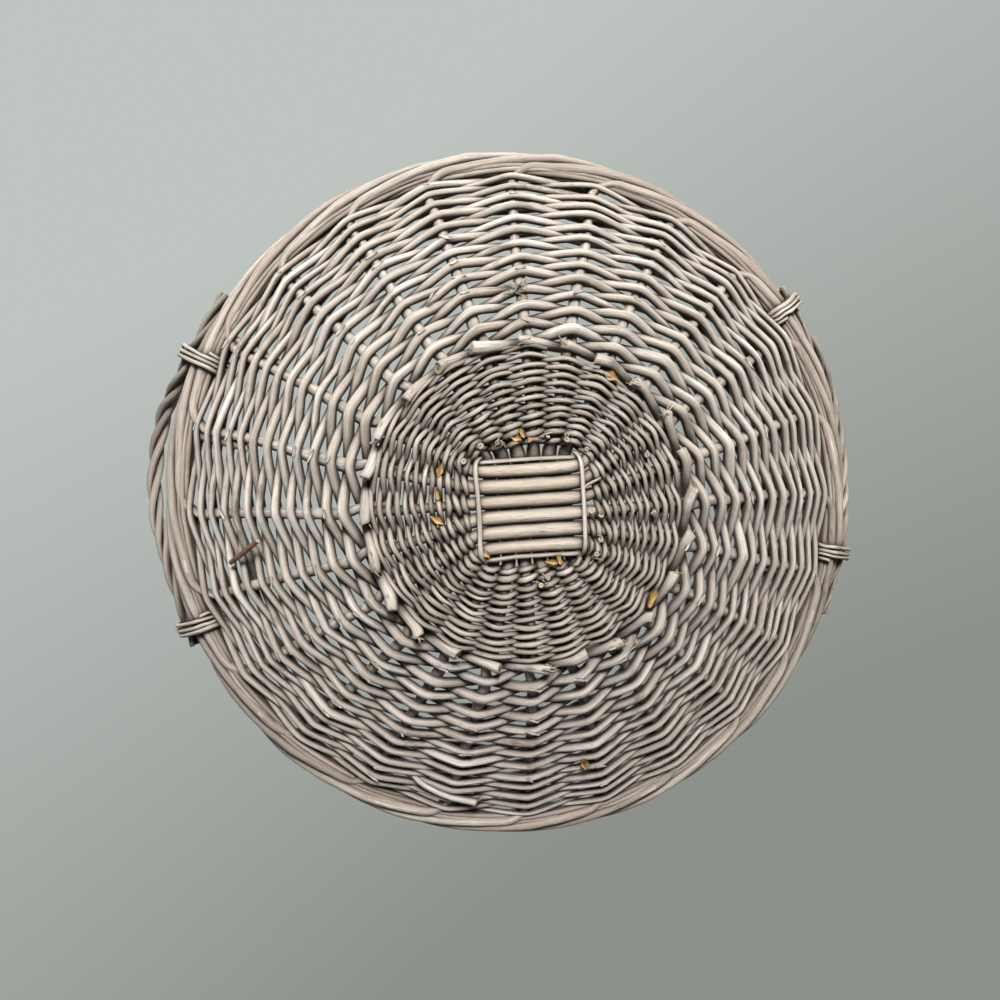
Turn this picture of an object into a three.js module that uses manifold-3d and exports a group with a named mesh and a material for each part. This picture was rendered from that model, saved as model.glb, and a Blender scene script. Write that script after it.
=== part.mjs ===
// Round willow tray: crossed base sticks, twined base, French-rand sides, rolled border and two bow handles.
// Millimetres and degrees, +Z up. The origin is under the middle of the rim, on the surface it stands on.
import * as THREE from 'three';
import { mergeVertices } from 'three/addons/utils/BufferGeometryUtils.js';
import Module from 'manifold-3d';

const wasm = await Module();
wasm.setup();

// Overall form
const rimRadius = 182; // middle of the border
const rimHeight = 57; // middle of the border
const baseRadius = 75; // where the sides leave the base
const footSlope = 21; // side angle where it leaves the base
const topSlope = 28; // side angle under the border
const fitGap = 0.3; // clearance between rods that touch

// Base sticks
const sticksPerRow = 6;
const armOffset = 3; // spokes of the first arm that lie clockwise of the handle line, seen from above
const slathTurn = -2; // turn of the crossing against the handles
const slathStickDia = 6.6; // where the sticks cross
const stickGap = 1.1; // between neighbours in a row
const spokeDia = 4; // where they are woven
const slathMargin = 2; // straight length beyond the outer crossing stick
const bendPare = 0.94; // the sticks are pared a little where they bend
const stickTail = 4; // length past the last round of the base
const edgeLift = 3.8; // how far the base rises from the crossing to its edge

// Tie rod round the crossing
const tieDia = 2.4;
const tieOut = 4.8; // how far it lies outside the crossing
const tieCorner = 2.2; // how far its corners are drawn in
const tieSag = 1.7; // how far it hangs below the upper sticks

// Base weavers
const baseWeaverDia = 2;
const baseRoundGap = 0.4; // between the two weavers' rounds
const crossingGap = 7.4; // from the corners of the crossing to the first round

// Side stakes and border
const stakeCount = 4 * sticksPerRow;
const stakeDia = 5.4; // low on the side
const borderDia = 4.6; // at the rim and along it
const footDia = 2.5; // pared end beside the base stick
const footGap = 0.7; // between a base stick's end and the foot of a stake
const footLength = 17; // height along the side at which a stake comes into line with its base stick
const stakeRings = 5;
const borderGap = 1.1; // between neighbouring rods in the border
const borderSpan = 3; // stakes that each border rod passes
const borderStart = 200; // place on the roll where a rod joins it, seen along the rim
const borderSweep = 230; // how far it rolls over to the outside
const hookSpan = 2.5; // turn round the rim in which a stake bends into the border

// Side weavers
const buttDia = 5;
const tipDia = 2.8;
const buttLift = 4.5; // free height between the base edge and the butts, along the side
const rowSlack = 1.04; // row spacing against rod thickness where the rows lie closest
const buttTail = 0.32; // length of the butt behind its first stake, in stakes
const pressShare = 0.7; // how close two neighbours press where they first cross, against their thickness

// Handles
const bowDia = 9;
const bowCentre = -0.5; // middle of the right bow, in stakes
const bowHalfSpan = 1.5; // from the middle of a bow to its ends, in stakes
const bowRise = 30; // middle of the bow over the middle of the border
const bowFlare = 24; // middle of the bow outside the middle of the border
const bowSeat = 25; // angle above the outside at which its ends lie against the border
const bowTail = 7; // turn round the rim in which its ends lie along the border
const bowShape = [[0.76, 0], [0.62, 0.24], [0.4, 0.76], [0.18, 0.96]]; // of the half span and of the way up
const bowSteps = 26;
const lashDia = 2.4;
const lashTurn = 4; // turn from the stake beside it
const lashSteps = 7; // in each of its two bends

const up = new THREE.Vector3(0, 0, 1);
const origin = new THREE.Vector2();
const rad = THREE.MathUtils.degToRad;
const halfTurn = 180;
const stakeTurn = (2 * halfTurn) / stakeCount;

// Solids

// Six sides lie flat above and below, four sides too.
function roundSection(radius, sides) {
  const first = sides === 6 ? 0 : Math.PI / sides;
  return Array.from({ length: sides }, (_, i) => {
    const a = first + (2 * Math.PI * i) / sides;
    return new THREE.Vector2(radius * Math.cos(a), radius * Math.sin(a));
  });
}

// A rod along points, with one section for each point and mitred bends. A closed one is a ring.
function sweepRod(points, sections, ups, closed = false) {
  const count = points.length;
  const sides = sections[0].length;
  const positions = [];
  points.forEach((point, i) => {
    const before = closed ? points[(i + count - 1) % count] : points[Math.max(i - 1, 0)];
    const after = closed ? points[(i + 1) % count] : points[Math.min(i + 1, count - 1)];
    const goingIn = point.clone().sub(before).normalize();
    const goingOut = after.clone().sub(point).normalize();
    const along = goingIn.clone().add(goingOut).normalize();
    const bend = goingOut.clone().sub(goingIn);
    const inside = goingIn.lengthSq() * goingOut.lengthSq() > 0;
    const stretch = inside ? 1 / Math.sqrt(1 - bend.lengthSq() / 4) - 1 : 0;
    bend.normalize();
    const side = new THREE.Vector3().crossVectors(along, ups[i]).normalize();
    const top = new THREE.Vector3().crossVectors(side, along);
    for (const { x, y } of sections[i]) {
      const offset = side.clone().multiplyScalar(-x).addScaledVector(top, y);
      offset.addScaledVector(bend, offset.dot(bend) * stretch).add(point);
      positions.push(offset.x, offset.y, offset.z);
    }
  });
  const index = [];
  const rings = closed ? count : count - 1;
  for (let i = 0; i < rings; i++) {
    const here = i * sides;
    const next = ((i + 1) % count) * sides;
    for (let j = 0; j < sides; j++) {
      const k = (j + 1) % sides;
      index.push(here + j, here + k, next + k, here + j, next + k, next + j);
    }
  }
  if (!closed) {
    const last = (count - 1) * sides;
    for (let j = 1; j < sides - 1; j++) {
      index.push(0, j + 1, j, last, last + j, last + j + 1);
    }
  }
  const geometry = new THREE.BufferGeometry();
  geometry.setAttribute('position', new THREE.Float32BufferAttribute(positions, 3));
  geometry.setIndex(index);
  return geometry;
}

function taperRod(points, radii, sides, ups) {
  const upAt = Array.isArray(ups) ? ups : points.map(() => ups);
  return sweepRod(points, radii.map((radius) => roundSection(radius, sides)), upAt);
}

function ringRod(points, radius, sides) {
  const section = roundSection(radius, sides);
  return sweepRod(points, points.map(() => section), points.map(() => up), true);
}

function toSolid(geometry) {
  const merged = mergeVertices(geometry, 1e-4);
  return new wasm.Manifold(new wasm.Mesh({
    numProp: 3,
    vertProperties: new Float32Array(merged.attributes.position.array),
    triVerts: new Uint32Array(merged.index.array),
  }));
}

function joinRods(geometries) {
  const solid = geometries.map(toSolid).reduce((all, next) => all.add(next));
  const mesh = solid.getMesh();
  const geometry = new THREE.BufferGeometry();
  geometry.setAttribute('position', new THREE.BufferAttribute(new Float32Array(mesh.vertProperties), 3));
  geometry.setIndex(new THREE.BufferAttribute(new Uint32Array(mesh.triVerts), 1));
  return geometry;
}

const tray = new THREE.Group();

function addPiece(name, geometry, colour) {
  geometry.computeVertexNormals();
  const material = new THREE.MeshStandardMaterial({ color: colour, roughness: 0.85, metalness: 0 });
  const mesh = new THREE.Mesh(geometry, material);
  mesh.name = name;
  tray.add(mesh);
}

function twoDigits(number) {
  return String(number).padStart(2, '0');
}

// How far a weaver's middle stands off when it passes a rod and crosses to the other side
// at the next one. clear is the least distance between the middles, and curve is how far the row falls
// away in one spacing.
function passReach(clear, spacing, curve) {
  let reach = clear;
  for (let round = 0; round < 40; round++) {
    const slope = (2 * reach + curve) / spacing;
    reach = clear * Math.hypot(1, slope);
  }
  return reach;
}

// Base

const stickRadius = slathStickDia / 2;
const spokeRadius = spokeDia / 2;
const baseWeaverRadius = baseWeaverDia / 2;
const slathPitch = slathStickDia + stickGap;
const tieRadius = tieDia / 2;
const stickHalf = stickRadius * Math.cos(Math.PI / 6); // from its middle to its flat sides
const tieHalf = tieRadius * Math.cos(Math.PI / 6);
const lowerLevel = 2 * tieHalf + fitGap + stickHalf; // the tie lies under the lower sticks
const upperLevel = lowerLevel + 2 * stickHalf + fitGap;
const outerStick = ((sticksPerRow - 1) * slathPitch) / 2;
const slathEdge = outerStick + stickRadius + slathMargin;
const baseFirstRadius = Math.hypot(slathEdge, outerStick) + crossingGap;
const baseRoundPitch = 2 * (baseWeaverDia + baseRoundGap);
const lastRound = baseRadius - baseWeaverRadius;
const wovenFrom = baseFirstRadius - baseWeaverRadius - fitGap;
const stickEnd = baseRadius + stickTail;

function baseReach(radius) {
  const clear = spokeRadius + baseWeaverRadius + fitGap;
  return passReach(clear, radius * Math.sin(rad(stakeTurn)), 0);
}

// The woven sticks lie just high enough for the weavers to pass under them, and rise towards the edge.
function spokeLevel(radius) {
  const woven = Math.max(radius, baseFirstRadius);
  const share = (woven - baseFirstRadius) / (stickEnd - baseFirstRadius);
  return baseReach(woven) + baseWeaverRadius + edgeLift * share;
}

function onBase(plan, z) {
  return new THREE.Vector3(plan.x, plan.y, z);
}

// Plan of a spoke: straight out of the crossing, then on a line to its place on the base edge.
const spokes = Array.from({ length: stakeCount }, (_, i) => {
  const arm = Math.floor((i + armOffset) / sticksPerRow);
  const armAngle = rad(90 * arm + slathTurn);
  const across = ((i + armOffset) % sticksPerRow) * slathPitch - outerStick;
  return {
    inner: new THREE.Vector2(slathEdge - slathMargin, across).rotateAround(origin, armAngle),
    start: new THREE.Vector2(slathEdge, across).rotateAround(origin, armAngle),
    end: new THREE.Vector2(stickEnd, 0).rotateAround(origin, rad(stakeTurn * i)),
  };
});

function spokeAt(i) {
  return spokes[(i + stakeCount) % stakeCount];
}

function onSpoke(i, radius) {
  const { start, end } = spokeAt(i % stakeCount);
  const way = end.clone().sub(start);
  const b = start.dot(way) / way.lengthSq();
  const c = (start.lengthSq() - radius * radius) / way.lengthSq();
  return start.clone().addScaledVector(way, Math.sqrt(b * b - c) - b);
}

function spokePoints(i, level) {
  const { inner, start, end } = spokeAt(i);
  return [
    onBase(inner, level),
    onBase(start, level),
    onBase(onSpoke(i, wovenFrom), spokeLevel(wovenFrom)),
    onBase(end, spokeLevel(stickEnd)),
  ];
}

function addBaseSticks(name, firstArm, level, colour) {
  const half = [stickRadius, bendPare * stickRadius, spokeRadius, spokeRadius];
  const radii = [...half].reverse().concat(half);
  for (let j = 0; j < sticksPerRow; j++) {
    const near = firstArm * sticksPerRow - armOffset + j;
    const far = (firstArm + 3) * sticksPerRow - armOffset - 1 - j;
    const points = spokePoints(far, level).reverse().concat(spokePoints(near, level));
    addPiece(`${name}_${j + 1}`, taperRod(points, radii, 6, up), colour);
  }
}

addBaseSticks('upper_base_stick', 1, upperLevel, 0xcabdac);
addBaseSticks('lower_base_stick', 0, lowerLevel, 0xd5c8b6);

// The tie lies under the four arms: low under the lower sticks, higher under the upper ones.
function addTie() {
  const inner = outerStick + stickRadius;
  const out = inner + tieOut;
  const armWay = new THREE.Vector2(1, 0).rotateAround(origin, rad(slathTurn));
  const wovenOut = onSpoke(sticksPerRow - armOffset - 1, wovenFrom).dot(armWay);
  const share = (out - slathEdge) / (wovenOut - slathEdge);
  const stickFoot = THREE.MathUtils.lerp(upperLevel - stickHalf, spokeLevel(wovenFrom) - spokeRadius, share);
  const low = tieHalf;
  const high = stickFoot - tieRadius - tieSag;
  const corner = out - tieCorner;
  const half = [
    [out, -inner, low],
    [out, inner, low],
    [corner, corner, low + fitGap],
    [inner, out, high],
    [-inner, out, high],
    [-corner, corner, low + fitGap],
  ];
  const corners = [...half, ...half.map(([x, y, z]) => [-x, -y, z])];
  const points = corners.map(([x, y, z]) => {
    return onBase(new THREE.Vector2(x, y).rotateAround(origin, rad(slathTurn)), z);
  });
  addPiece('slath_tie', ringRod(points, tieRadius, 6), 0xd8cbb9);
}

addTie();

// Two strands wind outward together. One is over the even spokes, the other over the odd ones.
function addBaseWeaver(name, strand) {
  const rounds = (lastRound - baseFirstRadius) / baseRoundPitch - 1 / 2;
  const steps = Math.floor(rounds * stakeCount);
  const points = [];
  for (let step = 0; step <= steps; step++) {
    const radius = baseFirstRadius + baseRoundPitch * (step / stakeCount + strand / 2);
    const over = (step + strand) % 2 ? -1 : 1;
    points.push(onBase(onSpoke(step, radius), spokeLevel(radius) + over * baseReach(radius)));
  }
  addPiece(name, taperRod(points, points.map(() => baseWeaverRadius), 4, up), 0xbfb2a3);
}

addBaseWeaver('base_weaver_a', 0);
addBaseWeaver('base_weaver_b', 1);

// Sides

const footTan = Math.tan(rad(footSlope));
const topTan = Math.tan(rad(topSlope));
const baseEdgeLevel = spokeLevel(stickEnd);
const sideRun = rimRadius - baseRadius;
const bendOut = (topTan * sideRun - (rimHeight - baseEdgeLevel)) / (topTan - footTan);
const profile = new THREE.QuadraticBezierCurve(
  new THREE.Vector2(baseRadius, baseEdgeLevel),
  new THREE.Vector2(baseRadius + bendOut, baseEdgeLevel + bendOut * footTan),
  new THREE.Vector2(rimRadius, rimHeight),
);
const sideLength = profile.getLength();

// Place on the side at an angle and a height along the side, and the way to the inside there.
function onSide(angle, height) {
  const share = THREE.MathUtils.clamp(height / sideLength, 0, 1);
  const at = profile.getPointAt(share);
  const along = profile.getTangentAt(share);
  const outward = new THREE.Vector2(1, 0).rotateAround(origin, rad(angle));
  const point = new THREE.Vector3(at.x * outward.x, at.x * outward.y, at.y);
  const inward = new THREE.Vector3(-along.y * outward.x, -along.y * outward.y, along.x);
  return { point, inward, radius: at.x, along };
}

const stakeRadius = stakeDia / 2;
const borderRodRadius = borderDia / 2;
const lashRadius = lashDia / 2;
const borderRoll = (borderDia + borderGap) / (2 * Math.sin(rad(borderSweep / borderSpan / 2)));
const borderRadius = borderRoll + borderRodRadius;
// The top row stays below the lashings, which go round the border.
const weaveTop = sideLength - borderRadius - lashDia - 4 * fitGap - tipDia / 2;

function onRim(angle, out, high) {
  const plan = new THREE.Vector2(rimRadius + out, 0).rotateAround(origin, rad(angle));
  return new THREE.Vector3(plan.x, plan.y, rimHeight + high);
}

function borderTail(angle) {
  const span = borderSpan * stakeTurn;
  const turns = [hookSpan];
  for (let turn = stakeTurn / 2; turn <= span; turn += stakeTurn / 2) {
    turns.push(turn);
  }
  const points = [
    onSide(angle, weaveTop).point,
    onSide(angle, sideLength - borderRadius - fitGap).point,
  ];
  for (const turn of turns) {
    const roll = rad(borderStart - (borderSweep * turn) / span);
    points.push(onRim(angle + turn, borderRoll * Math.cos(roll), borderRoll * Math.sin(roll)));
  }
  const radii = points.map((_, step) => (step ? borderRodRadius : borderRodRadius / 2));
  return taperRod(points, radii, 6, up);
}

// A stake stands beside the end of a base stick, comes into line with it, and goes on into the border.
function addStake(i) {
  const angle = stakeTurn * i;
  const tangent = new THREE.Vector3(-Math.sin(rad(angle)), Math.cos(rad(angle)), 0);
  const stemTop = sideLength - borderRadius - borderRodRadius;
  const footApart = spokeRadius + footGap + footDia / 2;
  const points = [fitGap, stickTail + footDia / 2].map((height) => (
    onSide(angle, height).point.addScaledVector(tangent, footApart)
  ));
  const radii = points.map(() => footDia / 2);
  for (let ring = 0; ring <= stakeRings; ring++) {
    const share = ring / stakeRings;
    points.push(onSide(angle, THREE.MathUtils.lerp(footLength, stemTop, share)).point);
    radii.push(THREE.MathUtils.lerp(stakeRadius, borderRodRadius, share));
  }
  const stem = taperRod(points, radii, 8, up);
  const colour = i % 2 ? 0xb8ada0 : 0xc4b8aa;
  addPiece(`side_stake_${twoDigits(i + 1)}`, joinRods([stem, borderTail(angle)]), colour);
}

for (let i = 0; i < stakeCount; i++) {
  addStake(i);
}

// Heights at which a weaver passes its stakes, and its thickness there.
const firstRow = buttLift + buttDia / 2;
const rows = [{ height: firstRow, dia: buttDia }];
while (rows.at(-1).height < weaveTop) {
  const { height, dia } = rows.at(-1);
  const next = height + rowSlack * dia + fitGap;
  rows.push({ height: next, dia: THREE.MathUtils.mapLinear(next, firstRow, weaveTop, buttDia, tipDia) });
}
rows.pop();

function weaverPoint(start, step, { height, dia }, outside) {
  const { point, inward, radius, along } = onSide(stakeTurn * (start + step), height);
  const clear = stakeRadius + dia / 2 + fitGap;
  const curve = radius * (1 - Math.cos(rad(stakeTurn))) * along.y;
  const spacing = (radius - clear * along.y) * Math.sin(rad(stakeTurn));
  const reach = passReach(clear, spacing, outside ? curve : 0);
  return { point: point.addScaledVector(inward, outside ? -reach : reach), inward, dia };
}

// One weaver starts outside each stake. It goes round anticlockwise, out and in, and climbs at every stake.
// In each pair of neighbours, the first is pressed down on the second where they cross for the first time.
function sideWeaver(start, pressed) {
  const places = [weaverPoint(start, -buttTail, rows[0], true)];
  rows.forEach((row, step) => {
    places.push(weaverPoint(start, step, row, step % 2 === 0));
    if (pressed && step === 1) {
      const under = (rows[0].height + rows[1].height) / 2;
      places.push({ ...onSide(stakeTurn * (start + 1.5), under + pressShare * row.dia), dia: row.dia });
    }
  });
  return taperRod(places.map((p) => p.point), places.map((p) => p.dia / 2), 6, places.map((p) => p.inward));
}

for (let i = 0; i < stakeCount; i += 2) {
  const colour = i % 4 ? 0xb3a697 : 0xd0c4b6;
  const twined = joinRods([sideWeaver(i, true), sideWeaver(i + 1, false)]);
  addPiece(`side_weavers_${twoDigits(i / 2 + 1)}`, twined, colour);
}

// Handles

const bowRadius = bowDia / 2;
const bowTurn = stakeTurn * bowHalfSpan;
const seatReach = borderRadius + bowRadius + 3 * fitGap;
const seatOut = seatReach * Math.cos(rad(bowSeat));
const seatHigh = seatReach * Math.sin(rad(bowSeat));

function addBow(name, middle) {
  const half = [[bowTurn + bowTail, 0], ...bowShape.map(([turn, way]) => [turn * bowTurn, way])];
  const all = [...half, [0, 1], ...[...half].reverse().map(([turn, way]) => [-turn, way])];
  const route = new THREE.CatmullRomCurve3(all.map(([turn, way]) => {
    const out = THREE.MathUtils.lerp(seatOut, bowFlare, way);
    return onRim(middle + turn, out, THREE.MathUtils.lerp(seatHigh, bowRise, way));
  }));
  const points = route.getSpacedPoints(bowSteps);
  const outward = onRim(middle, 0, -rimHeight).normalize();
  addPiece(name, taperRod(points, points.map(() => bowRadius), 8, outward), 0xbcb0a2);
}

// A lashing goes round the border and the end of a bow, close to a stake.
function addLashing(name, angle) {
  const bends = [
    { out: seatOut, high: seatHigh, reach: bowRadius, first: bowSeat - halfTurn / 2 },
    { out: 0, high: 0, reach: borderRadius, first: bowSeat + halfTurn / 2 },
  ];
  const points = bends.flatMap(({ out, high, reach, first }) => {
    return Array.from({ length: lashSteps }, (_, step) => {
      const a = rad(first + (halfTurn * step) / (lashSteps - 1));
      const away = reach + lashRadius + 2 * fitGap;
      return onRim(angle, out + away * Math.cos(a), high + away * Math.sin(a));
    });
  });
  const tangent = onRim(angle, 0, -rimHeight).cross(up).normalize();
  const section = roundSection(lashRadius, 5);
  const ups = points.map(() => tangent);
  addPiece(name, sweepRod(points, points.map(() => section), ups, true), 0xa99d8f);
}

const rightMiddle = stakeTurn * bowCentre;
for (const [side, middle] of [['right', rightMiddle], ['left', halfTurn - rightMiddle]]) {
  addBow(`handle_bow_${side}`, middle);
  addLashing(`handle_lashing_${side}_1`, middle + bowTurn - lashTurn);
  addLashing(`handle_lashing_${side}_2`, middle - bowTurn - lashTurn);
}

export default tray;
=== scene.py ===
import math
import bmesh
import bpy
import numpy as np
from mathutils import Matrix, Vector


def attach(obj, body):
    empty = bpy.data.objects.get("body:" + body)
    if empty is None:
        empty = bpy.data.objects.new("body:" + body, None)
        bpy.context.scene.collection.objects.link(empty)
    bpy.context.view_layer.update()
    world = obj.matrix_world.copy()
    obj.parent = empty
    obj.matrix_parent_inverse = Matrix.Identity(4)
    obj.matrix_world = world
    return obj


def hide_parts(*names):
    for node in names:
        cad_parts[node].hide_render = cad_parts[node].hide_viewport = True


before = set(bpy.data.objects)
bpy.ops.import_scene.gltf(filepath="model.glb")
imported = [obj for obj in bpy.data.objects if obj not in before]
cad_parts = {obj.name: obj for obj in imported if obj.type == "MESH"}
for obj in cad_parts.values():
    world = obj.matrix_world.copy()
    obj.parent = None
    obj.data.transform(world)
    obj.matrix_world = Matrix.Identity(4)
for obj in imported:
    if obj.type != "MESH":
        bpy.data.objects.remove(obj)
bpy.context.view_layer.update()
print("frame loaded with", len(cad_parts), "nodes")

# Lengths in the dictionaries are millimetres and angles degrees. Meshes are metres.
mm = 0.001
chance = np.random.default_rng(1907)  # seeded, so every run draws the same
scene = bpy.context.scene

tray = {
    "rimRadius": 182.0,  # middle of the border
    "rimHeight": 57.0,
    "baseRadius": 75.0,
    "baseEdgeLevel": 8.2,
    "footSlope": 21.0,
    "topSlope": 28.0,
    "spokes": 24,
}
spokeTurn = 360 / tray["spokes"]


# Camera

# The photograph shows the underside, so the camera looks up from below.
camera = {
    "lens": 27.04,  # wide phone lens
    "film": 36.0,
    "nearest": 10.0,
    "place": (-47.2, -27.2, -358.8),
    "aim": (-10.1, -1.1, 57.0),
    "roll": 1.6,  # the tray is turned a little against the frame
}


def addCamera():
    data = bpy.data.cameras.new("photoCamera")
    data.lens = camera["lens"]
    data.sensor_width = camera["film"]
    data.clip_start = camera["nearest"] * mm
    shot = bpy.data.objects.new("photoCamera", data)
    scene.collection.objects.link(shot)
    place, aim = Vector(camera["place"]) * mm, Vector(camera["aim"]) * mm
    roll = math.radians(camera["roll"])
    back = (place - aim).normalized()
    across = Vector((math.sin(roll), -math.cos(roll), 0)).cross(back).normalized()
    turn = Matrix((across, back.cross(across), back)).transposed()
    shot.matrix_world = Matrix.Translation(place) @ turn.to_4x4()
    scene.camera = shot


addCamera()
scene.view_settings.view_transform = "Standard"
print("camera set")


# Small helpers

down = np.array([0.0, 0.0, -1.0])
noWay = np.zeros(3)


def deselectAll():
    for item in list(bpy.context.selected_objects):
        item.select_set(False)


def linearColour(hexColour):
    parts = [int(hexColour[i:i + 2], 16) / 255 for i in (1, 3, 5)]
    return [*(p / 12.92 if p <= 0.04045 else ((p + 0.055) / 1.055) ** 2.4 for p in parts), 1.0]


def setInputs(node, **values):
    for name, value in values.items():
        node.inputs[name.replace("_", " ")].default_value = value


def feed(tree, node, socket, source, output):
    tree.links.new(source.outputs[output], node.inputs[socket])


def addNode(tree, kind, links=(), **settings):
    # settings name properties or inputs; links are (input, node, output)
    node = tree.nodes.new("ShaderNode" + kind)
    inputs = dict(settings)
    for name in settings:
        if name in node.bl_rna.properties:
            setattr(node, name, inputs.pop(name))
    setInputs(node, **inputs)
    for link in links:
        feed(tree, node, *link)
    return node


def unit(vector):
    return vector / np.linalg.norm(vector)


def turned(x, y, angle):
    a = math.radians(angle)
    return np.array([x * math.cos(a) - y * math.sin(a), x * math.sin(a) + y * math.cos(a)])


def turnedLevel(x, y, angle):
    return np.array([*turned(x, y, angle), 0])


def easeIn(share):
    share = min(max(share, 0.0), 1.0)
    return share * share * (3 - 2 * share)


def meshPoints(mesh):
    points = np.empty(len(mesh.vertices) * 3)
    mesh.vertices.foreach_get("co", points)
    return points.reshape(-1, 3)


def giveValues(mesh, name, kind, field, values):
    mesh.attributes.new(name, kind, "POINT").data.foreach_set(field, values.ravel())


# Materials

def newMaterial(name):
    material = bpy.data.materials.new(name)
    material.use_nodes = True
    tree = material.node_tree
    return material, tree, tree.nodes["Principled BSDF"]


# Noise stretched along the rod. The scale is for millimetres along and across it.
def noiseAlong(tree, place, scale, detail, roughness):
    stretch = addNode(tree, "Mapping", [("Vector", place, "Vector")], Scale=scale)
    return addNode(tree, "TexNoise", [("Vector", stretch, "Vector")],
                   Scale=1.0, Detail=detail, Roughness=roughness)


def remap(tree, source, output, span, to=(0.0, 1.0)):
    return addNode(tree, "MapRange", [("Value", source, output)],
                   From_Min=span[0], From_Max=span[1], To_Min=to[0], To_Max=to[1])


def mixColours(tree, share, first, second):
    # each is a (node, output), or else a number for the share and a hex colour for the others
    links, settings = [], {}
    for name, value in (("Fac", share), ("Color1", first), ("Color2", second)):
        if isinstance(value, tuple):
            links.append((name, *value))
        else:
            settings[name] = linearColour(value) if isinstance(value, str) else value
    return addNode(tree, "MixRGB", links, **settings)


washLook = {
    "bright": "#F4EEE6", "dull": "#AEA59B", "warm": "#DACDC1",
    "thin": "#8B8177",  # where the wash is thin
    "wood": "#63564B",  # where it is rubbed off
    # painted shade with some dust: the dark brown that the gaps between rods turn to
    "gapShade": "#2F251D",
    "streakNoise": ((0.035, 0.62, 0.62), 4.0, 0.6),  # scale, detail, roughness: 1.6 mm streaks
    "grainNoise": ((0.16, 2.2, 2.2), 3.0, 0.65),  # 0.45 mm grain
    "patchNoise": ((0.07, 0.11, 0.11), 3.0, 0.55),  # patches of about 1 cm
    "streaks": 0.75, "streakSpan": (0.3, 0.68), "specks": 0.5, "speckSpan": (0.28, 0.5),
    "rubbed": 0.8, "rubbedSpan": (1.3, 1.5), "dust": 0.97, "dustSpan": (0.46, 1.0),
    "gapReach": 14.0,  # how far from other rods the painted shade and dust reach
    "gapSamples": 6,
    "roughness": (0.62, 0.86), "roughSpan": (0.3, 0.7),
    "bump": 0.75, "bumpDepth": 0.5, "ior": 1.45, "gloss": 0.35,
}


# Willow rods dipped in thin white wash: a chalky, warm grey skin that streaks along the rod, rubbed through
# to brown wood here and there, and darkened to brown near other rods: painted shade in the gaps, with some
# dust.
def whitewashedWillow(name, **changes):
    look = {**washLook, **changes}
    material, tree, shader = newMaterial(name)
    place = addNode(tree, "Attribute", attribute_name="rodPlace")  # straight rod, in millimetres
    rod = addNode(tree, "Attribute", attribute_name="rodLook")  # tone, warmth and wear
    looks = addNode(tree, "SeparateColor", [("Color", rod, "Color")])
    streak = noiseAlong(tree, place, *look["streakNoise"])
    grain = noiseAlong(tree, place, *look["grainNoise"])
    patch = noiseAlong(tree, place, *look["patchNoise"])

    tone = mixColours(tree, (looks, "Red"), look["dull"], look["bright"])
    warm = mixColours(tree, (looks, "Green"), (tone, "Color"), look["warm"])
    washed = remap(tree, streak, "Fac", look["streakSpan"])
    thin = mixColours(tree, (washed, "Result"), look["thin"], (warm, "Color"))
    body = mixColours(tree, look["streaks"], (warm, "Color"), (thin, "Color"))
    speck = remap(tree, grain, "Fac", look["speckSpan"], (look["specks"], 0.0))
    specked = mixColours(tree, (speck, "Result"), (body, "Color"), look["wood"])
    bare = addNode(tree, "Math", [(0, patch, "Fac"), (1, looks, "Blue")], operation="ADD")
    rubbed = addNode(tree, "Math", [(0, bare, "Value"), (1, grain, "Fac")], operation="ADD")
    worn = remap(tree, rubbed, "Value", look["rubbedSpan"], (0.0, look["rubbed"]))
    wornColour = mixColours(tree, (worn, "Result"), (specked, "Color"), look["wood"])
    # Painted shade: an occlusion node darkens the colour towards the gap shade colour close to other rods,
    # with some dust.
    gapShade = addNode(tree, "AmbientOcclusion", samples=look["gapSamples"], Distance=look["gapReach"] * mm)
    dusty = remap(tree, gapShade, "AO", look["dustSpan"], (look["dust"], 0.0))
    colour = mixColours(tree, (dusty, "Result"), (wornColour, "Color"), look["gapShade"])
    feed(tree, shader, "Base Color", colour, "Color")

    rough = remap(tree, streak, "Fac", look["roughSpan"], look["roughness"])
    feed(tree, shader, "Roughness", rough, "Result")
    ridges = addNode(tree, "Math", [(0, grain, "Fac"), (1, streak, "Fac")], operation="ADD")
    bump = addNode(tree, "Bump", [("Height", ridges, "Value")],
                   Strength=look["bump"], Distance=look["bumpDepth"] * mm)
    feed(tree, shader, "Normal", bump, "Normal")
    setInputs(shader, IOR=look["ior"], Specular_IOR_Level=look["gloss"])
    return material


cutLook = {
    "rings": ((0.22, "#3F3226"), (0.42, "#8D7A64"), (0.8, "#B9AA96"), (1.0, "#A99C8B")),  # pith to bark
    "noiseScale": 1.6, "ragged": 0.4, "bump": 0.6, "bumpDepth": 0.3, "roughness": 0.9, "gloss": 0.25,
}


# Cut willow that has greyed: a dull tan, fibrous face with a dark pith in the middle.
def cutWillow():
    material, tree, shader = newMaterial("cut_willow")
    across = addNode(tree, "Attribute", attribute_name="cutPlace")  # 0 in the pith, 1 at the bark
    place = addNode(tree, "Attribute", attribute_name="rodPlace")
    noise = addNode(tree, "TexNoise", [("Vector", place, "Vector")], Scale=cutLook["noiseScale"], Detail=3.0)
    ragged = addNode(tree, "Math", [(0, noise, "Fac"), (2, across, "Fac")], operation="MULTIPLY_ADD")
    ragged.inputs[1].default_value = cutLook["ragged"]
    ring = addNode(tree, "ValToRGB", [("Fac", ragged, "Value")])
    stops = ring.color_ramp.elements
    for position, _ in cutLook["rings"][1:-1]:
        stops.new(position)
    for stop, (position, hexColour) in zip(stops, cutLook["rings"]):
        stop.position, stop.color = position, linearColour(hexColour)
    feed(tree, shader, "Base Color", ring, "Color")
    bump = addNode(tree, "Bump", [("Height", noise, "Fac")],
                   Strength=cutLook["bump"], Distance=cutLook["bumpDepth"] * mm)
    feed(tree, shader, "Normal", bump, "Normal")
    setInputs(shader, Roughness=cutLook["roughness"], Specular_IOR_Level=cutLook["gloss"])
    return material


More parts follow.
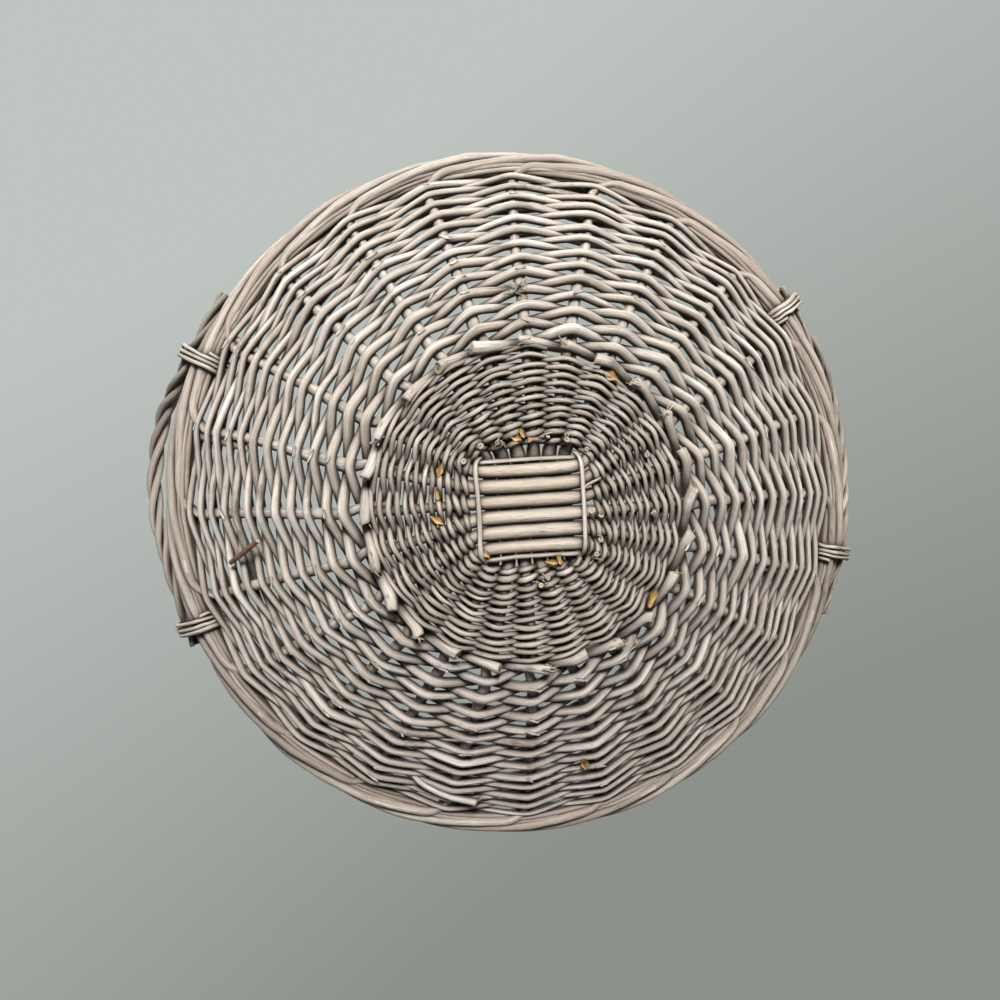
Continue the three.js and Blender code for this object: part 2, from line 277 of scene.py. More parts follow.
barkLook = {
    "streakNoise": ((0.2, 1.1, 1.1), 4.0, 0.5),  # 0.9 mm streaks
    "streakSpan": (0.35, 0.65), "roughness": 0.5,
}


# Bark, straw and dead twigs: thin skin with a slight sheen, streaked along its length.
def driedBark(name, pale, dark):
    material, tree, shader = newMaterial(name)
    place = addNode(tree, "Attribute", attribute_name="rodPlace")
    streak = noiseAlong(tree, place, *barkLook["streakNoise"])
    share = remap(tree, streak, "Fac", barkLook["streakSpan"])
    colour = mixColours(tree, (share, "Result"), dark, pale)
    feed(tree, shader, "Base Color", colour, "Color")
    setInputs(shader, Roughness=barkLook["roughness"])
    return material


sideWash = whitewashedWillow("whitewashed_willow_rods")  # palest, with dark painted shade in the gaps
stakeWash = whitewashedWillow(  # pale and with less painted shade, so that the stakes show between the rods
    "whitewashed_willow_stakes", dull="#C4BBB0", dust=0.78, gapReach=7.0)
borderWash = whitewashedWillow(  # pinker, rods of many tones
    "whitewashed_willow_border", bright="#E2D8CE", dull="#6E645B", warm="#C3B0A4", gapReach=12.0)
baseWash = whitewashedWillow(  # greyer and more worn
    "whitewashed_willow_base", bright="#DCD3C8", dull="#6A6158", specks=0.55, gapReach=10.0)
slathWash = whitewashedWillow(  # creamy and even
    "whitewashed_willow_sticks",
    bright="#D6CCBE", dull="#ADA293", warm="#CBBCAA", thin="#93887A", streaks=0.55)
bowWash = whitewashedWillow(  # darkest, a plain grey: painted shade, as the bows lie in the tray's shade behind the rim
    "whitewashed_willow_bows", bright="#A8A097", dull="#726A62", specks=0.4)
tieWash = whitewashedWillow(  # pale split skin
    "split_willow_ties", bright="#E6DED3", dull="#B4AA9E", specks=0.4)
cutFace = cutWillow()
goldenBark = driedBark("golden_bark", "#BE975A", "#735530")
deadTwig = driedBark("dead_twig", "#7C5A49", "#3E2C24")
chippedWash = driedBark("chipped_whitewash", "#D2C9BE", "#8F857A")
dryStraw = driedBark("dry_straw", "#BDB1A1", "#6B6054")
print("materials made")


# Blanks: straight rods, cut square at both ends. Every rod of the tray is a copy of one, bent to its route.

cutForm = {"edge": (0.1, 0.12), "pith": (0.45, -0.03)}  # inset and depth, in radii


def makeBlank(name, sides, cuts):
    deselectAll()
    bpy.ops.mesh.primitive_cylinder_add(vertices=sides, radius=1, depth=1, end_fill_type="NGON",
                                        location=(0.5, 0, 0), rotation=(0, math.pi / 2, 0))
    blank = bpy.context.object
    blank.name = name
    bpy.ops.object.transform_apply(location=True, rotation=True, scale=True)
    bpy.ops.object.mode_set(mode="EDIT")
    bpy.ops.mesh.select_mode(type="EDGE")
    for number in cuts:  # rings along the rod
        mesh = bmesh.from_edit_mesh(blank.data)
        for edge in mesh.edges:
            edge.select = abs(edge.verts[0].co.x - edge.verts[1].co.x) > 1e-6
        mesh.select_flush_mode()
        bpy.ops.mesh.subdivide(number_cuts=number)
    bpy.ops.mesh.select_mode(type="FACE")
    mesh = bmesh.from_edit_mesh(blank.data)
    for face in mesh.faces:
        face.select = abs(face.normal.x) > 0.9  # the two ends
    bmesh.update_edit_mesh(blank.data)
    for thickness, depth in cutForm.values():
        bpy.ops.mesh.inset(thickness=thickness, depth=depth)
    bpy.ops.mesh.poke()
    bpy.ops.object.mode_set(mode="OBJECT")
    for face in blank.data.polygons:
        face.use_smooth = abs(face.normal.x) < 0.5
        face.material_index = 0 if face.use_smooth else 1
    scene.collection.objects.unlink(blank)
    return blank


blanks = {
    "long": makeBlank("longBlank", 10, (24, 15)),
    "middle": makeBlank("middleBlank", 12, (95,)),
    "short": makeBlank("shortBlank", 12, (35,)),
    "endless": makeBlank("endlessBlank", 8, (99, 19)),
    "wisp": makeBlank("wispBlank", 5, (11,)),
}

flakeForm = {
    "grid": (10, 5), "skin": 0.12, "thickness": 3.0, "taper": 2.8, "ripple": 0.2, "ripples": 9,
    "tipRise": 0.7,  # rises are in widths
    "edgeRise": 0.9,
    "sunk": 0.3,
}


def makeFlake():
    deselectAll()
    columns, lines = flakeForm["grid"]
    bpy.ops.mesh.primitive_grid_add(x_subdivisions=columns, y_subdivisions=lines, size=1)
    flake = bpy.context.object
    flake.name = "flakeBlank"
    skin = flake.modifiers.new("skin", "SOLIDIFY")
    skin.thickness = flakeForm["skin"]
    bpy.ops.object.modifier_apply(modifier="skin")
    scene.collection.objects.unlink(flake)
    return flake


blanks["flake"] = makeFlake()
print("rod blanks made")


# A smooth route through points. A tension of 1 keeps it straight between them.
def smoothRoute(points, widths, samples, tension=0.0):
    points = np.array(points, float)
    knots = np.sqrt(np.linalg.norm(np.diff(points, axis=0), axis=1)).clip(1e-4)
    at = np.concatenate([[0], np.cumsum(knots)])
    slope = np.diff(points, axis=0) / knots[:, None]
    lean = np.empty_like(points)
    both = (knots[:-1] + knots[1:])[:, None]
    lean[1:-1] = (slope[:-1] * knots[1:, None] + slope[1:] * knots[:-1, None]) / both
    lean[0], lean[-1] = slope[0], slope[-1]
    lean[1:-1] *= 1 - tension
    fine = np.linspace(0, at[-1], samples * 4)  # close steps, to space the samples evenly
    k = np.clip(np.searchsorted(at, fine, "right") - 1, 0, len(knots) - 1)
    h = ((fine - at[k]) / knots[k])[:, None]
    step = knots[k][:, None]
    line = ((2 * h ** 3 - 3 * h ** 2 + 1) * points[k] + (h ** 3 - 2 * h ** 2 + h) * step * lean[k]
            + (3 * h ** 2 - 2 * h ** 3) * points[k + 1] + (h ** 3 - h ** 2) * step * lean[k + 1])
    width = np.interp(fine, at, widths)
    run = np.concatenate([[0], np.cumsum(np.linalg.norm(np.diff(line, axis=0), axis=1))])
    even = np.linspace(0, run[-1], samples)
    line = np.stack([np.interp(even, run, line[:, i]) for i in range(3)], axis=1)
    return line, np.interp(even, run, width), run[-1]


def waysAlong(line):
    along = np.gradient(line, axis=0)
    along /= np.linalg.norm(along, axis=1)[:, None]
    return along


# A few slow waves, for rods that are never quite straight or even.
def waves(count, longest, shortest):
    lengths = np.exp(chance.uniform(math.log(shortest), math.log(longest), count))
    phases = chance.uniform(0, 2 * math.pi, count)

    def wave(at):
        turns = zip(lengths, phases)
        return sum(np.sin(2 * math.pi * at / length + phase) for length, phase in turns) / count

    return wave


rodHabit = {
    "uneven": 0.1,  # share of the thickness
    "unevenWaves": (5, 150, 14),  # number, longest and shortest
    "oval": 0.05,
    "ovalTurn": 60,  # length in which the oval turns by half a radian
    "knotEvery": 130.0, "knotRise": 0.22,
    "knotLength": 1.1,  # in radii
    "knotWidth": 0.75,  # in radians
    "slant": 0.35,  # how far the cut ends lean
    "leastSamples": 40,
    "grainStart": (0, 4000),  # so that no two rods have the same grain
    "tone": (2.2, 1.6), "warmth": (1.2, 2.6), "wear": (0.12, 0.1),
}


# Bends a copy of a straight rod to its route.
def bendRod(name, blank, points, widths, materials,
            tone=None, warmth=None, wear=None, tension=0.0, uneven=1.0):
    straight = meshPoints(blank.data)
    samples = max(rodHabit["leastSamples"], len(np.unique(np.round(straight[:, 0], 5))))
    line, width, length = smoothRoute(points, widths, samples, tension)
    along = waysAlong(line)
    side = np.empty_like(line)
    first = np.array([0.0, 0.0, 1.0]) if abs(along[0][2]) < 0.8 else np.array([1.0, 0.0, 0.0])
    side[0] = unit(first - along[0] * first.dot(along[0]))
    for i in range(1, samples):  # the rod doesn't twist
        side[i] = unit(side[i - 1] - along[i] * side[i - 1].dot(along[i]))
    top = np.cross(along, side)

    share = straight[:, 0].clip(0, 1)
    past = straight[:, 0] - share  # the rounded ends, in radii
    index = share * (samples - 1)
    low = np.floor(index).astype(int).clip(0, samples - 2)
    part = (index - low)[:, None]

    def between(values):
        return values[low] * (1 - part) + values[low + 1] * part

    radius = between(width[:, None])[:, 0] / 2
    run = share * length
    angle = np.arctan2(straight[:, 2], straight[:, 1])
    turn = chance.uniform(0, 2 * math.pi)
    swell = 1 + uneven * rodHabit["uneven"] * waves(*rodHabit["unevenWaves"])(run)
    swell += uneven * rodHabit["oval"] * np.cos(2 * (angle - turn) + run / rodHabit["ovalTurn"])
    for knot in chance.uniform(0, length, chance.poisson(length / rodHabit["knotEvery"])):
        facing = chance.uniform(-math.pi, math.pi)
        away = (angle - facing + math.pi) % (2 * math.pi) - math.pi
        near = ((run - knot) / (rodHabit["knotLength"] * radius)) ** 2 + (away / rodHabit["knotWidth"]) ** 2
        swell += uneven * rodHabit["knotRise"] * np.exp(-near)
    lean = np.where(share <= 0, 1.0, np.where(share >= 1, -1.0, 0.0)) * rodHabit["slant"]
    lean *= straight[:, 1] * math.cos(turn) + straight[:, 2] * math.sin(turn)
    centre, sides, tops, ways = between(line), between(side), between(top), between(along)
    placed = centre + (sides * straight[:, 1:2] + tops * straight[:, 2:3]) * (radius * swell)[:, None]
    placed += ways * ((past + lean) * radius)[:, None]

    mesh = blank.data.copy()
    mesh.vertices.foreach_set("co", (placed * mm).ravel())
    grain = run + chance.uniform(*rodHabit["grainStart"])
    place = np.stack([grain, straight[:, 1] * radius, straight[:, 2] * radius], axis=1)
    giveValues(mesh, "rodPlace", "FLOAT_VECTOR", "vector", place)
    look = np.ones((len(straight), 4))
    look[:, 0] = chance.beta(*rodHabit["tone"]) if tone is None else tone
    look[:, 1] = chance.beta(*rodHabit["warmth"]) if warmth is None else warmth
    look[:, 2] = chance.normal(*rodHabit["wear"]) if wear is None else wear
    giveValues(mesh, "rodLook", "FLOAT_COLOR", "color", look)
    giveValues(mesh, "cutPlace", "FLOAT", "value", np.hypot(straight[:, 1], straight[:, 2]))
    for material in materials:
        mesh.materials.append(material)
    rod = bpy.data.objects.new(name, mesh)
    scene.collection.objects.link(rod)
    return rod


# Curls a copy of the flat flake round its length and lays it down.
def layFlake(place, out, way, length, width, material):
    flat = meshPoints(blanks["flake"].data)
    along = unit(way - out * out.dot(way))
    across = np.cross(out, along)
    ripple = 1 + flakeForm["ripple"] * np.sin(flakeForm["ripples"] * flat[:, 0] + length)
    narrow = width * (1 - flakeForm["taper"] * flat[:, 0] ** 2) * ripple
    rise = flakeForm["edgeRise"] * flat[:, 1] ** 2 + flakeForm["tipRise"] * flat[:, 0] ** 2
    lift = width * (rise - flakeForm["sunk"]) + flat[:, 2] * flakeForm["thickness"]
    placed = place + along * (flat[:, :1] * length) + across * (flat[:, 1] * narrow)[:, None]
    placed = placed + out * lift[:, None]
    mesh = blanks["flake"].data.copy()
    mesh.vertices.foreach_set("co", (placed * mm).ravel())
    giveValues(mesh, "rodPlace", "FLOAT_VECTOR", "vector", flat * (length, width, 1) + place)
    mesh.materials.append(material)
    flake = bpy.data.objects.new("flake", mesh)
    scene.collection.objects.link(flake)
    return flake


fray = {
    "length": (2.5, 6.5), "lean": 0.55, "spread": 1.1, "off": (0, 1.5),
    "back": 0.5,  # share of its length by which a fibre starts inside the rod
    "bend": 0.4, "curl": 0.7, "dia": (0.8, 0.6, 0.25),
    "lowest": 0.5,  # nothing reaches below the table
}


# Loose fibres at the end of a rod.
def frayEnd(place, way, out, count):
    fibres = []
    for _ in range(count):
        lean = unit(way + chance.normal(0, fray["lean"], 3)) * chance.uniform(*fray["length"])
        start = place + chance.normal(0, fray["spread"], 3) + out * chance.uniform(*fray["off"])
        tip = start + lean + chance.normal(0, fray["curl"], 3)
        route = np.array([start - fray["back"] * lean, start + fray["bend"] * lean, tip])
        route[:, 2] = route[:, 2].clip(fray["lowest"])
        fibres.append(bendRod("fibre", blanks["wisp"], route, fray["dia"], [dryStraw, cutFace], uneven=0))
    return fibres


# Joins a piece's rods, names the piece, attaches it to the root body and hides its nodes in the frame.
def finishPiece(name, rods, slot, *nodes):
    deselectAll()
    for rod in rods:
        rod.select_set(True)
    piece = rods[0]
    bpy.context.view_layer.objects.active = piece
    if len(rods) > 1:
        bpy.ops.object.join()
    piece.name = name
    piece.data.update()
    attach(piece, "root")
    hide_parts(*nodes)


# Base: twelve sticks crossed six over six, fanned out into spokes

base = {
    "sticksPerRow": 6, "armOffset": 3, "slathTurn": -2.0,
    "stickDia": (6.8, 7.6, 7.1, 7.5, 7.3, 6.9),
    "stickPitch": 7.7, "slathEdge": 26.0, "slathMargin": 2.0,
    "lowerLevel": 5.6, "upperLevel": 10.5, "spokeDia": 5.1, "spokeLevel": 5.2,
    "edgeLift": 3.0,  # the base rises towards its edge
    "levelShare": 0.22,  # share of a spoke's length in which it settles to the spokes' level
    "stickEnd": 79.0,
    "shares": (0.03, 0.12, 0.25, 0.5, 0.75, 1),  # places along a spoke that its route goes through
    "tone": (0.45, 1), "wear": (0.08, 0.06), "uneven": 0.6,
}
meanStick = sum(base["stickDia"]) / len(base["stickDia"])


def spokePlan(i):
    i %= tray["spokes"]
    arm, place = divmod(i + base["armOffset"], base["sticksPerRow"])
    across = (place - (base["sticksPerRow"] - 1) / 2) * base["stickPitch"]
    angle = 90 * arm + base["slathTurn"]
    start = turned(base["slathEdge"], across, angle)
    inner = turned(base["slathEdge"] - base["slathMargin"], across, angle)
    return inner, start, turned(base["stickEnd"], 0, spokeTurn * i), arm % 2 == 0


def spokePlace(i, share):
    # share runs from the edge of the crossing to the end of the stick
    _, start, end, lower = spokePlan(i)
    settled = easeIn(share / base["levelShare"])
    level = base["lowerLevel"] if lower else base["upperLevel"]
    plan = start + (end - start) * share
    height = level + (base["spokeLevel"] + base["edgeLift"] * share - level) * settled
    width = meanStick + (base["spokeDia"] - meanStick) * settled
    return np.array([plan[0], plan[1], height]), width


def addBaseSticks(name, node, firstArm, level):
    for j in range(base["sticksPerRow"]):
        near = firstArm * base["sticksPerRow"] - base["armOffset"] + j
        far = (firstArm + 3) * base["sticksPerRow"] - base["armOffset"] - 1 - j  # the stick's other end
        points, widths = [], []
        for i, shares in ((far, base["shares"][::-1]), (near, base["shares"])):
            for share in shares:
                point, width = spokePlace(i, share)
                points.append(point)
                widths.append(width * base["stickDia"][j] / meanStick)
            if i == far:  # straight through the crossing
                for end in (far, near):
                    points.append(np.array([*spokePlan(end)[0], level]))
                    widths.append(base["stickDia"][j])
        stick = bendRod(name, blanks["middle"], points, widths, [slathWash, cutFace],
                        tone=chance.uniform(*base["tone"]), wear=chance.normal(*base["wear"]),
                        uneven=base["uneven"])
        finishPiece(f"{name}_{j + 1}", [stick], "base_sticks", f"{node}_{j + 1}")


addBaseSticks("lower_stick", "lower_base_stick", 0, base["lowerLevel"])
addBaseSticks("upper_stick", "upper_base_stick", 1, base["upperLevel"])
print("base sticks made")


# The tie lies as a frame of thin rods round the crossing, under the sticks

tie = {
    "dia": 2.3, "out": (25.6, 23.6), "level": (1.3, 4.6), "tuck": 3.2,
    "route": ((-1.1, 0.88, 1.6), (-1.03, 0.96, 1.0), (-0.9, 1, 0.1), (-0.3, 1.01, 0),
              (0.3, 1, 0), (0.9, 1, 0.1), (1.03, 0.96, 1.0), (1.1, 0.88, 1.6)),  # along, out, tucked up
    "wander": 0.2, "tone": 0.85,
}


def addTie():
    rods = []
    for quarter in range(4):
        level, out = tie["level"][quarter % 2], tie["out"][quarter % 2]
        reach = tie["out"][1 - quarter % 2]
        points = []
        for along, share, tuck in tie["route"]:
            plan = turned(out * share, reach * along, 90 * quarter + base["slathTurn"])
            points.append(np.array([*plan, level + tie["tuck"] * tuck]) + chance.normal(0, tie["wander"], 3))
        widths = [tie["dia"]] * len(points)
        rods.append(bendRod("tie", blanks["short"], points, widths, [tieWash, cutFace], tone=tie["tone"]))
    finishPiece("slath_tie_rods", rods, "base_weavers", "slath_tie")


addTie()


# Two strands wind outward over and under the spokes, starting close to the tie

baseWeave = {
    "dia": 2.8, "taper": 0.08,
    "swell": 0.1,  # slow change of thickness, and the steps it takes for a radian
    "swellSteps": 31,
    "rounds": 11.8, "firstShare": 0.07, "lastShare": 0.985,
    "wander": 0.42, "wanderWays": (1, 1, 0.3), "twist": 0.8, "press": 0.1, "lowest": 0.2,
    "tension": 0.15, "uneven": 1.2,
    "looks": ((0.55, 0.5), (0.25, 0.35)),  # tone and warmth, each with its swing
    "lookWaves": (4, 0.2, 0.02),  # many short rods, laid end to end
}


def addBaseWeaver(name, node, strand, bits=()):
    steps = int(baseWeave["rounds"] * tray["spokes"])
    points, widths = [], []
    for step in range(steps):
        done = step / steps
        share = baseWeave["firstShare"] + (baseWeave["lastShare"] - baseWeave["firstShare"]) * done
        point, width = spokePlace(step, share)
        following = spokePlace(step + 1, share)[0]
        swell = 1 + baseWeave["swell"] * math.sin(step / baseWeave["swellSteps"] + strand)
        dia = baseWeave["dia"] * (1 - baseWeave["taper"] * done) * swell
        over = 1 if (step + strand) % 2 == 0 else -1
        between = (point + following) / 2  # the two strands swap sides between the spokes
        between += unit(between * (1, 1, 0)) * -over * baseWeave["twist"]
        lifted = point[2] + over * (width / 2 + dia / 2 - baseWeave["press"])
        point[2] = max(lifted, dia / 2 + baseWeave["lowest"])
        for place in (point, between):
            points.append(place + chance.normal(0, baseWeave["wander"], 3) * baseWeave["wanderWays"])
            widths.append(dia)
    rod = bendRod(name, blanks["endless"], points, widths, [baseWash, cutFace],
                  tension=baseWeave["tension"], uneven=baseWeave["uneven"])
    look = rod.data.attributes["rodLook"]
    colours = np.empty(len(rod.data.vertices) * 4)
    look.data.foreach_get("color", colours)
    colours = colours.reshape(-1, 4)
    run = meshPoints(blanks["endless"].data)[:, 0]
    for channel, (middle, swing) in enumerate(baseWeave["looks"]):
        colours[:, channel] = np.clip(middle + swing * waves(*baseWeave["lookWaves"])(run), 0, 1)
    look.data.foreach_set("color", colours.ravel())
    finishPiece(name, [rod, *bits], "base_weavers", node)


# What is caught in the base: bark flakes, a straw, and the cut ends of old strands
baseCatch = {
    "flakes": ((-7.0, -34.7, 0.4, 7, 3.0), (1.2, -34.5, 2.2, 6, 2.6), (-3.4, -36.5, 1.2, 5, 2.4),
               (-43.4, -19.9, 1.9, 7, 2.8), (-45.2, -8.0, 1.4, 5, 2.4), (-45.7, 4.0, 0.6, 7.5, 3.0),
               (40.9, -63.3, 0.5, 8, 4.2), (60.0, 47.0, 2.0, 10, 3.6), (-23.1, 20.8, 0.8, 6.5, 2.4),
               (9.4, 26.6, 0.2, 6, 2.6), (13.4, 25.6, 1.3, 5, 2.4)),  # x, y, radians, length, width
    "flakeLevel": 1.7,
    "edgeFrom": 50,  # flakes farther out lie higher
    "edgeLift": 1.4,
    "stubs": ((32.7, 5.3), (35.0, 15.2), (32.8, 22.5), (8.3, 33.3), (4.8, 38.1), (-14.0, -33.0),
              (-24.5, -31.0), (8.0, -33.5), (17.0, -33.0), (-31.0, -24.0), (29.0, -28.0), (62.0, 3.0),
              (58.0, -24.0)),
    "stubLevel": 5.5, "stubLength": (4.3, 5.0), "stubLean": 0.9,
    "stubDia": 2.7, "stubUneven": (0.85, 1.15), "stubFibres": 2,
    "straw": ((25.5, -9.1, 1.2), (30.0, -11.6, 0.9), (34.5, -13.7, 1.4)),
    "strawDia": (1.5, 1.5, 1.2),
}


def baseBits():
    bits = []
    for x, y, turn, length, width in baseCatch["flakes"]:
        lift = baseCatch["edgeLift"] * (math.hypot(x, y) > baseCatch["edgeFrom"])
        place = np.array([x, y, baseCatch["flakeLevel"] + lift])
        way = np.array([math.cos(turn), math.sin(turn), 0])
        bits.append(layFlake(place, down, way, length, width, goldenBark))
    for x, y in baseCatch["stubs"]:
        foot = np.array([x, y, baseCatch["stubLevel"]])
        tip = foot + down * chance.uniform(*baseCatch["stubLength"])
        tip = tip + chance.normal(0, baseCatch["stubLean"], 3) * (1, 1, 0)
        dia = baseCatch["stubDia"] * chance.uniform(*baseCatch["stubUneven"])
        route = [foot, (foot + tip) / 2, tip]
        bits.append(bendRod("stub", blanks["short"], route, [dia] * 3, [baseWash, cutFace]))
        bits += frayEnd(tip, down, noWay, baseCatch["stubFibres"])
    straw = bendRod("straw", blanks["short"], baseCatch["straw"], baseCatch["strawDia"], [dryStraw, cutFace])
    return bits + [straw]


addBaseWeaver("base_strand_a", "base_weaver_a", 0, baseBits())
addBaseWeaver("base_strand_b", "base_weaver_b", 1)
print("base woven")


# Sides

def sideProfile():
    foot, top = (math.tan(math.radians(tray[slope])) for slope in ("footSlope", "topSlope"))
    rise = tray["rimHeight"] - tray["baseEdgeLevel"]
    run = tray["rimRadius"] - tray["baseRadius"]
    out = (top * run - rise) / (top - foot)
    corners = np.array([[tray["baseRadius"], tray["baseEdgeLevel"]],
                        [tray["baseRadius"] + out, tray["baseEdgeLevel"] + out * foot],
                        [tray["rimRadius"], tray["rimHeight"]]])
    t = np.linspace(0, 1, 600)[:, None]  # bends evenly from one slope to the other
    curve = (1 - t) ** 2 * corners[0] + 2 * t * (1 - t) * corners[1] + t ** 2 * corners[2]
    lengths = np.concatenate([[0], np.cumsum(np.linalg.norm(np.diff(curve, axis=0), axis=1))])
    return curve, lengths


profile, profileRun = sideProfile()
sideLength = profileRun[-1]


# Place on the side at an angle and a height along it, with the way inside, the radius and the way up there.
def onSide(angle, height):
    height = min(max(height, 0.0), sideLength)
    radius, level = (np.interp(height, profileRun, profile[:, i]) for i in (0, 1))
    k = min(np.searchsorted(profileRun, height), len(profile) - 2)
    along = unit(profile[k + 1] - profile[k])
    outward = turned(1, 0, angle)
    inward = np.array([-along[1] * outward[0], -along[1] * outward[1], along[0]])
    return np.array([*(outward * radius), level]), inward, radius, along


# How far a rod stands off the side where it passes a stake aslant.
def passReach(clear, spacing, curve):
    reach = clear
    for _ in range(40):  # more than it takes to settle
        slope = (2 * reach + curve) / spacing
        reach = clear * math.hypot(1, slope)
    return reach


def onRim(angle, out, high):
    plan = turned(tray["rimRadius"] + out, 0, angle)
    return np.array([plan[0], plan[1], tray["rimHeight"] + high])


stake = {
    "dia": (6.5, 5.2),  # low on the side, and at the rim
    "uneven": (0.94, 1.07),
    "footApart": 3.6, "footBack": 7, "footIn": (1.0, 0.6), "footRise": (0, 4), "footDia": (3.2, 3.6),
    "footLength": 17.0,
    "wobble": (0.7, 0.4),  # sideways, and in and out
    "wobbleWaves": (3, 160, 50), "wobbleShift": 40, "tension": 0.1,
    "roll": 5.0,  # radius on which the border rods lie
    "rollUneven": 0.07, "rollStart": 232.0, "rollSweep": 240.0,
    "span": 60.0,  # each border rod passes four stakes
    "past": 2.5, "hook": 2.5, "underBorder": 4, "borderDia": 5.3, "borderTip": (0.94, 0.86, 0.7),
    "borderDeep": 8,  # the border's wash starts this far below its middle
    "endShare": 0.7,  # share of the stakes with a border end pushed down beside them
    "endDia": 3.9, "endTaper": (0.9, 1.1), "endLength": (14.0, 42.0), "endIn": 0.8, "endUp": 5,
    "followDia": 4.2,  # thinner border rods that lie between the weave and the thick ones
    "followTaper": (1.1, 0.7), "followTurn": 4, "followUneven": 0.05,
    "followTone": (0, 0.8), "followWarmth": 0.5,
    "follow": ((-5, 205, 0.8), (0, 205, 1.0), (7, 212, 1.12), (15, 222, 1.15),
               (23, 232, 1.15), (31, 244, 1.12), (39, 256, 1.05), (44, 262, 0.9)),  # turn, roll, share of it
}
borderRadius = stake["roll"] + stake["borderDia"] / 2
stakeTop = sideLength - borderRadius - stake["underBorder"]


def stakeDia(height):
    return np.interp(height, (0, sideLength), stake["dia"])


def besideStake(angle, height, aside, inside):
    point, inward = onSide(angle, height)[:2]
    return point + turnedLevel(0, aside, angle) + inward * inside


# Each stake starts beside a base stick, and bends over into the border at the rim.
def stakeRod(angle):
    wobble = waves(*stake["wobbleWaves"])
    points = [besideStake(angle, rise, stake["footApart"], inside)
              for rise, inside in zip(stake["footRise"], stake["footIn"])]
    points[0] = points[0] - turnedLevel(stake["footBack"], 0, angle)
    thick = chance.uniform(*stake["uneven"])
    widths = list(stake["footDia"])
    for height in np.linspace(stake["footLength"], stakeTop, 6):
        aside = stake["wobble"][0] * wobble(height)
        inside = stake["wobble"][1] * wobble(height + stake["wobbleShift"])
        points.append(besideStake(angle, height, aside, inside))
        widths.append(stakeDia(height) * thick)
    # along the border, with a point at every half stake
    turns = [stake["hook"]] + [spokeTurn / 2 * k for k in range(1, 9)] + [stake["span"] + stake["past"]]
    for turn in turns:
        roll = math.radians(stake["rollStart"] + stake["rollSweep"] * turn / stake["span"])
        reach = stake["roll"] * chance.normal(1, stake["rollUneven"])
        points.append(onRim(angle + turn, reach * math.cos(roll), reach * math.sin(roll)))
    thick *= stake["borderDia"]
    widths += [thick] * (len(turns) - len(stake["borderTip"])) + [thick * tip for tip in stake["borderTip"]]
    materials = [stakeWash, cutFace, borderWash]
    rod = bendRod("stake", blanks["middle"], points, widths, materials, tension=stake["tension"])
    for face in rod.data.polygons:
        if face.material_index == 0 and face.center.z > (tray["rimHeight"] - stake["borderDeep"]) * mm:
            face.material_index = materials.index(borderWash)
    return rod


def pushedEnd(angle):
    aside = chance.choice((-1, 1)) * (stakeDia(sideLength) + stake["endDia"]) / 2
    low = stakeTop - chance.uniform(*stake["endLength"])
    heights = np.linspace(low, stakeTop + stake["endUp"], 5)
    route = [besideStake(angle, height, aside, stake["endIn"]) for height in heights]
    widths = np.linspace(*stake["endTaper"], len(route)) * stake["endDia"]
    return bendRod("end", blanks["short"], route, widths, [stakeWash, cutFace])


def followRod(angle):
    route = []
    for turn, roll, share in stake["follow"]:
        out, high = turned(stake["roll"] * share * chance.normal(1, stake["followUneven"]), 0, roll)
        route.append(onRim(angle + turn + stake["followTurn"], out, high))
    widths = np.linspace(*stake["followTaper"], len(route)) * stake["followDia"]
    return bendRod("follower", blanks["middle"], route, widths, [borderWash, cutFace],
                   tone=chance.uniform(*stake["followTone"]), warmth=stake["followWarmth"])


def addStakes():
    for i in range(tray["spokes"]):
        angle = spokeTurn * i
        rods = [stakeRod(angle)]
        if chance.random() < stake["endShare"]:
            rods.append(pushedEnd(angle))
        rods.append(followRod(angle))
        finishPiece(f"stake_{i + 1:02d}", rods, "stakes", f"side_stake_{i + 1:02d}")


addStakes()
print("stakes and border made")


# One weaver starts outside each stake, goes round out and in, and climbs at every stake

weave = {
    "buttDia": 5.4, "tipDia": 3.5, "uneven": 0.07,
    "firstRow": 3.4,  # along the side
    "topRow": 2.5,  # the last row may reach this far past the border's edge
    "rowRise": (5.5, 3.2),  # from one stake to the next, low and high on the side
    "press": 0.7,  # the rods are pressed into each other where they cross
    "wander": 0.75, "wanderStep": 0.6, "driftWaves": (3, 14, 4),
    "buttTail": (0.1, 0.36),  # length behind the first stake, in stakes
    "buttWander": 1.2,
    "buttLift": (0.0, 3.4),  # the cut end stands off the side
    "buttDown": 180.0,  # it points away from here, above the middle of the base
    "buttLowest": 0.6, "buttFibres": 2,
    "tension": (0.4, 0.75),  # stiff rods bend sharply at the stakes
    "chips": 3,  # splinters on outer bends
    "chipTurn": 18, "chipOff": 0.2, "chipLength": (3, 8), "chipWidth": (0.7, 1.5),
}


def weaverRows():
    top = sideLength - borderRadius + weave["topRow"]
    heights = [weave["firstRow"]]
    while heights[-1] < top:
        heights.append(heights[-1] + np.interp(heights[-1], (weave["firstRow"], top), weave["rowRise"]))
    return heights[:-1]


rows = weaverRows()
print("weaver rows:", len(rows))


def weaverPoint(start, step, height, dia, outside):
    point, inward, radius, along = onSide(spokeTurn * (start + step), height)
    clear = (stakeDia(height) + dia) / 2
    curve = radius * (1 - math.cos(math.radians(spokeTurn))) * along[1]
    spacing = (radius - clear * along[1]) * math.sin(math.radians(spokeTurn))
    reach = passReach(clear, spacing, curve if outside else 0)
    return point + inward * weave["press"] * (-reach if outside else reach)


